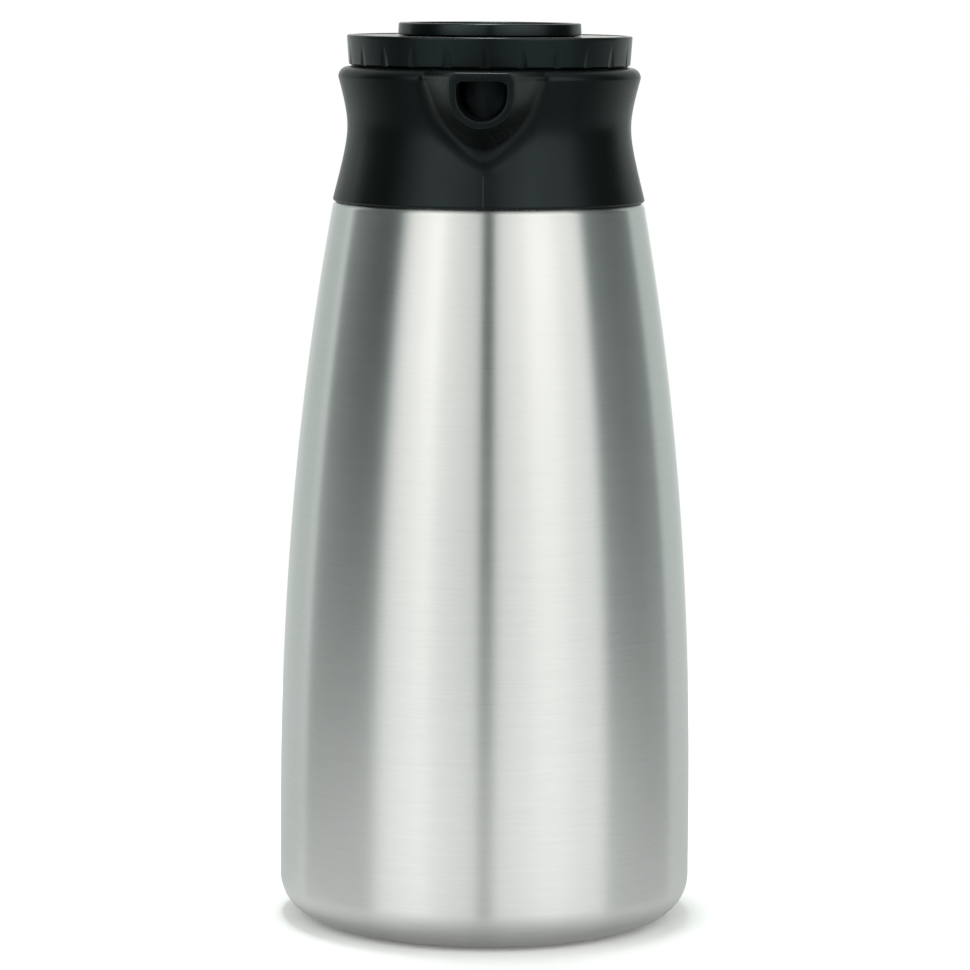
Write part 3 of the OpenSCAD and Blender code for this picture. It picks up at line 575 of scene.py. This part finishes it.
def make_cap():
    """The flip cap: a raised rim with a waist round it, a dished top, the plug below and its arm."""
    floor_z = CAP_TOP - DISH_DEPTH
    dish = [(0, floor_z, 0), (24.2, floor_z + 0.05, 0.9), (27.1, CAP_TOP - 0.1, 0.5)]
    rim = [(27.8, CAP_TOP, 0.4), (CAP_RAD - 0.2, CAP_TOP, 0.6), (CAP_RAD, CAP_FOOT, 0.5)]
    plug = [(25.9, CAP_FOOT, 0.8), (25.4, 287.4, 0.3), (25.4, 286, 0.15), (24.4, 286, 0.1),
            (24.4, 284.2, 0.1), (25.4, 284.2, 0.15), (25.4, 283.7, 0.3), (23.4, 283.7, 0.3),
            (23.4, floor_z - 2, 0.8), (0, floor_z - 2, 0)]
    piece = turned("cap_skin", rounded(dish + rim + plug, 8), round_angles(288), closed=False)
    outline = np.concatenate([[[28.2, 291.1], [28.2, 288.35]],
                              arc(HINGE_Y, HINGE_Z, BARREL_RAD, -132, 145, 30)])
    return [piece, extruded("cap_arm", outline, -6.7, 6.7, 0.3)]


# ---- Forms of the handle ----

def half_outline(inset):
    """Half of the handle's hollow section, as a U whose wall is drawn in by an inset."""
    x, y, wall = HANDLE_W / 2 - inset, HANDLE_T / 2 - inset, HANDLE_WALL - 2 * inset
    low, outer = 0.05 + inset, HANDLE_ROUND - inset
    inner, lip = outer - wall, 0.36 - 0.8 * inset
    return rounded([
        (x, low, lip), (x, y, outer), (-x, y, outer), (-x, low, lip),
        (wall - x, low, lip * 0.5), (wall - x, y - wall, inner), (x - wall, y - wall, inner),
        (x - wall, low, lip * 0.5)], 12)


def handle_path():
    """Places (y, z) down the handle's middle line, with its direction measured from +Y."""
    lean = math.radians(GRIP_LEAN - 90)
    rows = [(y, UPPER_ARM_Z, 0.0) for y in np.linspace(BOSS_END + HANDLE_GAP, UPPER_ARM_Y, 6)[1:-1]]
    middle = np.array([UPPER_ARM_Y, UPPER_ARM_Z - UPPER_BEND])
    for a in np.linspace(0, lean, 33):
        rows.append((*(middle + UPPER_BEND * np.array([-math.sin(a), math.cos(a)])), a))
    grip = np.array(rows[-1][:2])
    low = grip + GRIP_LEN * np.array([math.cos(lean), math.sin(lean)])
    for t in np.linspace(0, 1, 12)[1:-1]:
        rows.append((*(grip * (1 - t) + low * t), lean))
    middle = low + LOWER_BEND * np.array([math.sin(lean), -math.cos(lean)])
    for a in np.linspace(lean, -math.pi, 33):
        rows.append((*(middle + LOWER_BEND * np.array([-math.sin(a), math.cos(a)])), a))
    return np.array(rows), grip, lean


def make_handle_half(name, side):
    """One moulding of the handle: its U section swept down the middle line to the body."""
    path, _, _ = handle_path()
    start = BOSS_END + HANDLE_GAP
    end_z = path[-1][1]
    full, drawn = half_outline(0), half_outline(HANDLE_EDGE)
    closing = (drawn + drawn[::-1]) / 2
    turn = np.linspace(0, math.pi / 2, 5)

    def ring(y, z, direction, outline):
        across = np.array([-math.sin(direction), math.cos(direction)])
        place = np.array([y, z]) + outline[:, 1:] * side * across
        return np.concatenate([outline[:, :1], place], 1)

    def at_body(outline, gap):
        foot = ring(0, end_z, -math.pi, outline)
        foot[:, 1] = np.sqrt((body_radius(foot[:, 2]) + gap) ** 2 - foot[:, 0] ** 2)
        return foot

    rings = [ring(start, UPPER_ARM_Z, 0, closing)]
    for a in turn:
        rings.append(ring(start + HANDLE_EDGE * (1 - math.cos(a)), UPPER_ARM_Z, 0,
                          half_outline(HANDLE_EDGE * (1 - math.sin(a)))))
    rings += [ring(y, z, a, full) for y, z, a in path]
    foot = at_body(full, BODY_GAP + HANDLE_EDGE)
    rings += [rings[-1] * (1 - t) + foot * t for t in np.linspace(0, 1, 8)[1:]]
    for a in turn[::-1][1:]:
        rings.append(at_body(half_outline(HANDLE_EDGE * (1 - math.sin(a))),
                             BODY_GAP + HANDLE_EDGE * (1 - math.cos(a))))
    rings.append(at_body(closing, BODY_GAP))
    return surface(name, np.stack(rings), wrap_columns=True)


def make_handle():
    """The handle's two mouldings, with the hollows for their screws."""
    path, grip, lean = handle_path()
    outer = make_handle_half("handle_grip_skin", 1)
    inner = make_handle_half("handle_cover_skin", -1)
    inward = np.array([0, math.sin(lean), -math.cos(lean)])
    down = np.array([0, math.cos(lean), math.sin(lean)])
    holes = []
    for i, distance in enumerate((SCREW_INSET, GRIP_LEN - SCREW_INSET)):
        place = np.array([0, *grip]) + distance * down + inward * HANDLE_T / 2
        holes.append(hole(f"screw_hole_{i}", place, inward, 3.1, 1.4))
    low_z = path[-1][1] - HANDLE_T / 2
    carve(inner, *holes)
    carve(outer, hole("low_hole", (0, LOW_SCREW_Y, low_z), (0, 0, -1), 3.3, 1.6))
    return outer, inner


def make_boss():
    """The collar's boss for the handle: a rounded block that blends into the collar."""
    half = np.array([HANDLE_W / 2, HANDLE_T / 2])
    outline = rounded([(x * half[0], z * half[1], HANDLE_ROUND)
                       for x, z in ((1, 1), (-1, 1), (-1, -1), (1, -1))], 20)
    long_step = np.linalg.norm(np.roll(outline, -1, 0) - outline, axis=1) > 2
    outline = divided(outline, np.where(long_step, 6, 1))

    def ring(inset, y):
        x, z = (outline * (1 - inset / half)).T
        return np.stack([x, np.full(len(outline), y), UPPER_ARM_Z + z], -1)

    edge = HANDLE_EDGE
    turn = np.radians(np.linspace(0, 90, 5))
    brow = [ring(edge * (1 - math.sin(a)), BOSS_END - edge * (1 - math.cos(a))) for a in turn[:-1]]
    start = ring(0, BOSS_END - edge)
    foot = np.stack([start[:, 0], collar_s(start[:, 2])], -1)
    landing = foot + unit(outline) * BOSS_FILLET
    lead = np.zeros_like(start)
    lead[:, 1] = on_collar(landing, BACK)[:, 1] - start[:, 1]
    outside = blend_onto_collar(start, lead, foot, landing, BACK)
    close, inner = (shrunk(ring(0, y), UPPER_ARM_Z) for y in (BOSS_END, THROAT_RAD + 0.5))
    points = np.concatenate([np.stack([close] + brow), outside, [inner]])
    return surface("handle_boss", points, wrap_columns=True, crease=60)


# ---- Materials ----

def add(tree, kind, settings=None, inputs=None):
    """A node with its settings, and inputs that are values or other nodes' outputs."""
    node = tree.nodes.new(kind)
    for key, value in (settings or {}).items():
        setattr(node, key, value)
    for key, value in (inputs or {}).items():
        socket = node.inputs[key]
        if isinstance(value, bpy.types.NodeSocket):
            tree.links.new(value, socket)
        else:
            socket.default_value = value
    return node


def maths(tree, operation, *values):
    """The result of a Math node."""
    return add(tree, "ShaderNodeMath", {"operation": operation},
               dict(enumerate(values))).outputs[0]


def remap(tree, value, low, high, to_low, to_high):
    """A value carried from one range to another, held at its ends."""
    return add(tree, "ShaderNodeMapRange", {}, {
        "Value": value, "From Min": low, "From Max": high, "To Min": to_low,
        "To Max": to_high}).outputs["Result"]


def stretched(tree, coordinates, scale):
    """Coordinates scaled by a different amount on each axis."""
    return add(tree, "ShaderNodeMapping", {}, {"Vector": coordinates, "Scale": scale}).outputs[0]


def noise(tree, coordinates, scale, detail=2.0, roughness=0.5):
    """A noise value between 0 and 1."""
    return add(tree, "ShaderNodeTexNoise", {}, {
        "Vector": coordinates, "Scale": scale, "Detail": detail, "Roughness": roughness}).outputs[0]


FLOAT, VECTOR, COLOUR = "NodeSocketFloat", "NodeSocketVector", "NodeSocketColor"


def new_group(name, inputs):
    """A finish as a node group, with a list of input sockets (name, kind, default)."""
    group = bpy.data.node_groups.new(name, "ShaderNodeTree")
    for label, kind, default in inputs:
        socket = group.interface.new_socket(name=label, in_out="INPUT", socket_type=kind)
        socket.default_value = default
    for label, kind in (("Colour", COLOUR), ("Roughness", FLOAT), ("Normal", VECTOR)):
        group.interface.new_socket(name=label, in_out="OUTPUT", socket_type=kind)
    return group, group.nodes.new("NodeGroupInput").outputs


def hand_on(group, given, shade, rough, bump):
    """Feeds a finish's outputs: its colour times a shade, its roughness with an addition, a bump."""
    tone = add(group, "ShaderNodeMix", {"data_type": "RGBA", "blend_type": "MULTIPLY"}, {
        "Factor": 1.0, "A": given["Colour"],
        "B": add(group, "ShaderNodeCombineColor", {}, {0: shade, 1: shade, 2: shade}).outputs[0]})
    add(group, "NodeGroupOutput", {}, {
        "Colour": tone.outputs["Result"],
        "Roughness": maths(group, "ADD", given["Roughness"], rough),
        "Normal": add(group, "ShaderNodeBump", {}, bump).outputs[0]})


def moulded_group():
    """Moulded plastic's skin: fine spark-eroded grain, slow waves of gloss and handling marks."""
    group, given = new_group("moulded_skin", [
        ("Colour", COLOUR, (0.02, 0.02, 0.02, 1)), ("Roughness", FLOAT, 0.4), ("Grain", FLOAT, 0.1),
        ("Grain Size", FLOAT, 4000.0)])
    place = add(group, "ShaderNodeTexCoord").outputs["Object"]
    grain = noise(group, place, given["Grain Size"])
    wave = noise(group, place, 28.0, 3.0, 0.6)
    smear = noise(group, stretched(group, place, (90, 90, 30)), 1.0, 4.0, 0.65)
    dust = remap(group, noise(group, place, 900.0, 1.0), 0.72, 0.82, 0.0, 0.35)
    shade = maths(group, "ADD", remap(group, wave, 0.3, 0.7, 0.86, 1.14), dust)
    rough = maths(group, "ADD", remap(group, smear, 0.35, 0.7, -0.035, 0.05),
                  remap(group, wave, 0.3, 0.7, -0.02, 0.02))
    hand_on(group, given, shade, rough, {
        "Strength": given["Grain"], "Distance": 0.00004, "Height": grain})
    return group


def brushed_group():
    """Brushed sheet: short scratches that run round the body, at three widths."""
    group, given = new_group("brushed_sheet", [
        ("Colour", COLOUR, (0.6, 0.6, 0.6, 1)), ("Roughness", FLOAT, 0.3), ("Depth", FLOAT, 0.2)])
    place = add(group, "ShaderNodeTexCoord").outputs["Object"]
    parts = add(group, "ShaderNodeSeparateXYZ", {}, {0: place}).outputs
    angle = maths(group, "ARCTAN2", parts[1], parts[0])
    ring = add(group, "ShaderNodeCombineXYZ", {}, {
        0: maths(group, "COSINE", angle), 1: maths(group, "SINE", angle), 2: parts[2]}).outputs[0]
    fine = noise(group, stretched(group, ring, (9, 9, 9000)), 1.0, 3.0, 0.7)
    middle = noise(group, stretched(group, ring, (3.5, 3.5, 1700)), 1.0, 2.0, 0.6)
    broad = noise(group, stretched(group, ring, (1.2, 1.2, 240)), 1.0, 2.0, 0.5)
    streak = maths(group, "ADD", maths(group, "MULTIPLY", fine, 0.5),
                   maths(group, "ADD", maths(group, "MULTIPLY", middle, 0.35),
                         maths(group, "MULTIPLY", broad, 0.15)))
    blot = noise(group, place, 14.0, 3.0, 0.6)
    shade = maths(group, "MULTIPLY", remap(group, streak, 0.3, 0.7, 0.93, 1.05),
                  remap(group, blot, 0.3, 0.7, 0.985, 1.015))
    rough = maths(group, "ADD", remap(group, streak, 0.3, 0.7, -0.03, 0.03),
                  remap(group, blot, 0.3, 0.7, -0.015, 0.015))
    hand_on(group, given, shade, rough, {
        "Strength": given["Depth"], "Distance": 0.00001, "Height": streak})
    return group


def material(name, group, inputs, shader):
    """A material whose colour, roughness and normal come from a group. shader holds plain values."""
    made = bpy.data.materials.new(name)
    made.use_nodes = True
    tree = made.node_tree
    surface_shader = tree.nodes["Principled BSDF"]
    skin = add(tree, "ShaderNodeGroup", {"node_tree": group}, inputs)
    for output, socket in (("Colour", "Base Color"), ("Roughness", "Roughness"), ("Normal", "Normal")):
        tree.links.new(skin.outputs[output], surface_shader.inputs[socket])
    for key, value in shader.items():
        surface_shader.inputs[key].default_value = value
    return made


def make_materials():
    """Every finish on the object, by name."""
    moulded, brushed = moulded_group(), brushed_group()
    steel = material("brushed_steel", brushed, {
        "Colour": (0.78, 0.785, 0.78, 1), "Roughness": 0.30, "Depth": 0.25},
        {"Metallic": 1.0, "Anisotropic": 1.0})
    tree = steel.node_tree
    tangent = add(tree, "ShaderNodeTangent", {"direction_type": "UV_MAP", "uv_map": "along_and_round"})
    tree.links.new(tangent.outputs[0], tree.nodes["Principled BSDF"].inputs["Tangent"])
    made = {"steel": steel}
    made["liner"] = material("liner_steel", brushed, {
        "Colour": (0.62, 0.62, 0.61, 1), "Roughness": 0.36, "Depth": 0.15}, {"Metallic": 1.0})
    made["fastener"] = material("fastener_steel", brushed, {
        "Colour": (0.55, 0.55, 0.54, 1), "Roughness": 0.3, "Depth": 0.1}, {"Metallic": 1.0})
    for name, colour, rough, grain, size, specular in (
            ("collar", (0.0028, 0.0042, 0.0038, 1), 0.30, 0.25, 5200.0, 0.28),
            ("lid", (0.0026, 0.0038, 0.0036, 1), 0.24, 0.12, 5200.0, 0.40),
            ("handle", (0.0050, 0.0068, 0.0064, 1), 0.38, 0.4, 3600.0, 0.35),
            ("valve", (0.62, 0.61, 0.56, 1), 0.45, 0.1, 4000.0, 0.5),
            ("silicone", (0.60, 0.585, 0.53, 1), 0.5, 0.15, 5000.0, 0.45),
            ("rubber", (0.022, 0.022, 0.022, 1), 0.72, 0.6, 3000.0, 0.35),
            ("foam", (0.72, 0.66, 0.48, 1), 0.9, 1.0, 1400.0, 0.2)):
        shader = {"Specular IOR Level": specular}
        if name in ("collar", "lid", "handle"):
            shader["Specular Tint"] = (0.74, 0.93, 1.0, 1)
        made[name] = material(name + "_skin", moulded, {
            "Colour": colour, "Roughness": rough, "Grain": grain, "Grain Size": size}, shader)
    return made


# ---- Stage ----

def make_floor():
    """A pale round table. It shows as white where nothing shades it, and keeps the soft shadow.

    Only the camera's rays see it so. Mirrored in the object it has painted shade: its colour is duller,
    least in front and at a low angle, and no other ray meets it.
    """
    radius = np.array([0, 60, 120, 240, 450.0])
    angle = np.linspace(0, 2 * math.pi, 129)[:-1]
    points = np.stack([radius[:, None] * np.cos(angle), radius[:, None] * np.sin(angle),
                       np.zeros((len(radius), len(angle)))], -1)
    floor = surface("floor", points, wrap_columns=True)
    made = bpy.data.materials.new("pale_table")
    made.use_nodes = True
    tree = made.node_tree
    tree.nodes.clear()
    path = add(tree, "ShaderNodeLightPath").outputs
    matt = add(tree, "ShaderNodeBsdfDiffuse", {}, {"Color": (1.25, 1.25, 1.25, 1)})
    glow = add(tree, "ShaderNodeEmission", {}, {"Color": (1, 1, 1, 1), "Strength": 0.08})
    both = add(tree, "ShaderNodeAddShader", {}, {0: matt.outputs[0], 1: glow.outputs[0]})
    place = add(tree, "ShaderNodeSeparateXYZ", {}, {
        0: add(tree, "ShaderNodeTexCoord").outputs["Object"]}).outputs
    steep = add(tree, "ShaderNodeLayerWeight", {}, {"Blend": 0.5}).outputs["Facing"]
    # Painted shade on the mirrored table: its colour darkens towards the back and where a ray meets it
    # steeply.
    tone = maths(tree, "MULTIPLY", remap(tree, steep, 0.15, 0.5, 0.6, 1.12),
                 remap(tree, place[1], -0.16, 0.05, 1.0, 0.62))
    painted_shade_floor = add(tree, "ShaderNodeBsdfDiffuse", {}, {"Color": tone})
    clear = add(tree, "ShaderNodeBsdfTransparent")
    mirrored = add(tree, "ShaderNodeMixShader", {}, {
        0: path["Is Glossy Ray"], 1: clear.outputs[0], 2: painted_shade_floor.outputs[0]})
    mix = add(tree, "ShaderNodeMixShader", {}, {
        0: path["Is Camera Ray"], 1: mirrored.outputs[0], 2: both.outputs[0]})
    add(tree, "ShaderNodeOutputMaterial", {}, {"Surface": mix.outputs[0]})
    floor.data.materials.append(made)


# Brightness of the studio round the object. The angle is in degrees from the camera's side,
# and it grows towards +X.
STUDIO = [
    (-180, 1.3), (-170, 0.74), (-152, 0.56), (-140, 0.49), (-128, 0.53), (-119, 0.74), (-116.5, 0.6),
    (-113.5, 0.1), (-104, 0.1), (-90, 0.07), (-76, 0.05), (-68, 0.14), (-64, 0.42), (-59, 1.05),
    (-51, 1.38), (-43, 1.5), (-35, 1.66), (-29, 1.4), (-18, 1.17), (-10, 1.05), (-5, 0.97),
    (-2.4, 0.78), (0.2, 0.0), (4.0, 0.0), (6.4, 0.6), (9, 1.02), (12, 1.12), (17, 1.24), (27, 1.4),
    (38, 1.62), (44, 1.6), (52, 1.43), (62, 1.3), (68, 1.3), (72, 1.08), (76, 0.5), (81, 0.24),
    (90, 0.15), (104, 0.08), (121, 0.06), (125.5, 0.12), (129.5, 0.48), (134, 0.5), (150, 0.5),
    (168, 0.7), (180, 1.3)]


def make_world():
    """Soft studio light: bright panels to both sides of the camera, dark wings, a pale back.

    The panels end in a dimmer ceiling. Below the horizon lies the room past the table's edge.
    """
    world = bpy.data.worlds.new("studio")
    bpy.context.scene.world = world
    world.use_nodes = True
    tree = world.node_tree
    tree.nodes.clear()
    way = add(tree, "ShaderNodeSeparateXYZ", {}, {
        0: add(tree, "ShaderNodeTexCoord").outputs["Generated"]}).outputs
    angle = maths(tree, "ARCTAN2", way[0], maths(tree, "MULTIPLY", way[1], -1.0))
    turn = remap(tree, angle, -math.pi, math.pi, 0.0, 1.0)
    curve = add(tree, "ShaderNodeFloatCurve", {}, {"Factor": 1.0, "Value": turn})
    line = curve.mapping.curves[0]
    points = [((a + 180) / 360, value / 2) for a, value in STUDIO]
    line.points[0].location = points[0]
    line.points[1].location = points[-1]
    for point in points[1:-1]:
        line.points.new(*point)
    for point in line.points:
        point.handle_type = "AUTO_CLAMPED"
    curve.mapping.update()
    side = maths(tree, "MULTIPLY", curve.outputs[0], 2.26)
    above = remap(tree, way[2], 0.55, 0.85, 0.0, 1.0)
    risen = remap(tree, way[2], 0.0, 0.10, 0.35, 1.0)
    behind = remap(tree, maths(tree, "ABSOLUTE", angle), 1.75, 2.3, 0.25, 1.0)
    panels = maths(tree, "MULTIPLY", side, maths(tree, "MAXIMUM", risen, behind))
    upper = maths(tree, "ADD", maths(tree, "MULTIPLY", panels, maths(tree, "SUBTRACT", 1.0, above)),
                  maths(tree, "MULTIPLY", above, 0.4))
    edge = remap(tree, maths(tree, "ABSOLUTE", angle), 1.4, 2.0, 0.2, 0.55)
    room = maths(tree, "MULTIPLY", maths(tree, "ADD", maths(tree, "MULTIPLY", side, 0.2), edge),
                 remap(tree, way[2], -0.5, -0.25, 0.4, 1.0))
    below = remap(tree, way[2], -0.10, -0.04, 1.0, 0.0)
    strength = maths(tree, "ADD", maths(tree, "MULTIPLY", upper, maths(tree, "SUBTRACT", 1.0, below)),
                     maths(tree, "MULTIPLY", room, below))
    tint = add(tree, "ShaderNodeMix", {"data_type": "RGBA"}, {
        "Factor": remap(tree, strength, 0.3, 1.2, 0.0, 1.0),
        "A": (0.86, 1.0, 0.95, 1), "B": (1.0, 0.985, 0.95, 1)})
    path = add(tree, "ShaderNodeLightPath").outputs
    studio = add(tree, "ShaderNodeBackground", {}, {
        "Color": tint.outputs["Result"], "Strength": strength})
    white = add(tree, "ShaderNodeBackground", {}, {"Color": (1, 1, 1, 1), "Strength": 1.0})
    mix = add(tree, "ShaderNodeMixShader", {}, {
        0: path["Is Camera Ray"], 1: studio.outputs[0], 2: white.outputs[0]})
    add(tree, "ShaderNodeOutputWorld", {}, {"Surface": mix.outputs[0]})


def make_key_light():
    """A round softbox high above, a little behind and to the left: it draws the contact shadow."""
    data = bpy.data.lights.new("softbox", "AREA")
    data.shape, data.size, data.energy = "DISK", 0.36, 9.0
    light = bpy.data.objects.new("softbox", data)
    bpy.context.scene.collection.objects.link(light)
    place = Vector((-0.05, 0.085, 1.5))
    light.matrix_world = Matrix.Translation(place) @ place.to_track_quat("Z", "Y").to_matrix().to_4x4()


def make_camera():
    """The camera, where the photo's outline puts it."""
    far, height, around = 1.363, 0.3119, math.radians(2.1)
    pan, down, lean = 0.00043, 0.124, 0.0068
    data = bpy.data.cameras.new("camera")
    data.lens, data.sensor_width = 155.9, 36
    camera = bpy.data.objects.new("camera", data)
    bpy.context.scene.collection.objects.link(camera)
    camera.matrix_world = (
        Matrix.Translation((far * math.sin(around), -far * math.cos(around), height))
        @ Matrix.Rotation(around + pan, 4, "Z") @ Matrix.Rotation(math.pi / 2 - down, 4, "X")
        @ Matrix.Rotation(lean, 4, "Z"))
    bpy.context.scene.camera = camera


# ---- The whole ----

def dress(piece, finish, body, stands_for):
    """Gives a piece its finish and the body that it moves with, and hides the solids it stands for."""
    piece.data.materials.clear()
    piece.data.materials.append(finishes[finish])
    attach(piece, body)
    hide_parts(*stands_for)


finishes = make_materials()
dress(make_outer_shell(), "steel", "carafe", ["outer_shell"])
for part in (make_collar(), make_spout(), make_boss(), *make_nibs()):
    dress(part, "collar", "carafe", ["collar"])
for part, solid in zip(make_handle(), ("handle_grip", "handle_cover")):
    dress(part, "handle", "carafe", [solid])
for part in (make_lid(), *make_lugs()):
    dress(part, "lid", "lid", ["lid_cover"])
for part in make_cap():
    dress(part, "lid", "flip_cap", ["flip_cap"])

NODE_FINISH = {
    "liner": "inner_liner base_cup",
    "fastener": "getter vacuum_seal retaining_ring handle_top_screws handle_cover_screws "
                "lower_bracket lower_screw lid_screws hinge_pin",
    "rubber": "base_pad shoulder_gasket",
    "silicone": "throat_seal lid_gasket cap_seal",
    "lid": "stopper stopper_base funnel valve_tube valve_cage",
    "foam": "stopper_foam",
    "valve": "float_valve",
}
for finish, nodes in NODE_FINISH.items():
    for node in nodes.split():
        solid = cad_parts[node]
        solid.data.materials.clear()
        solid.data.materials.append(finishes[finish])

make_floor()
make_world()
make_key_light()
make_camera()
bpy.context.scene.view_settings.view_transform = "Standard"
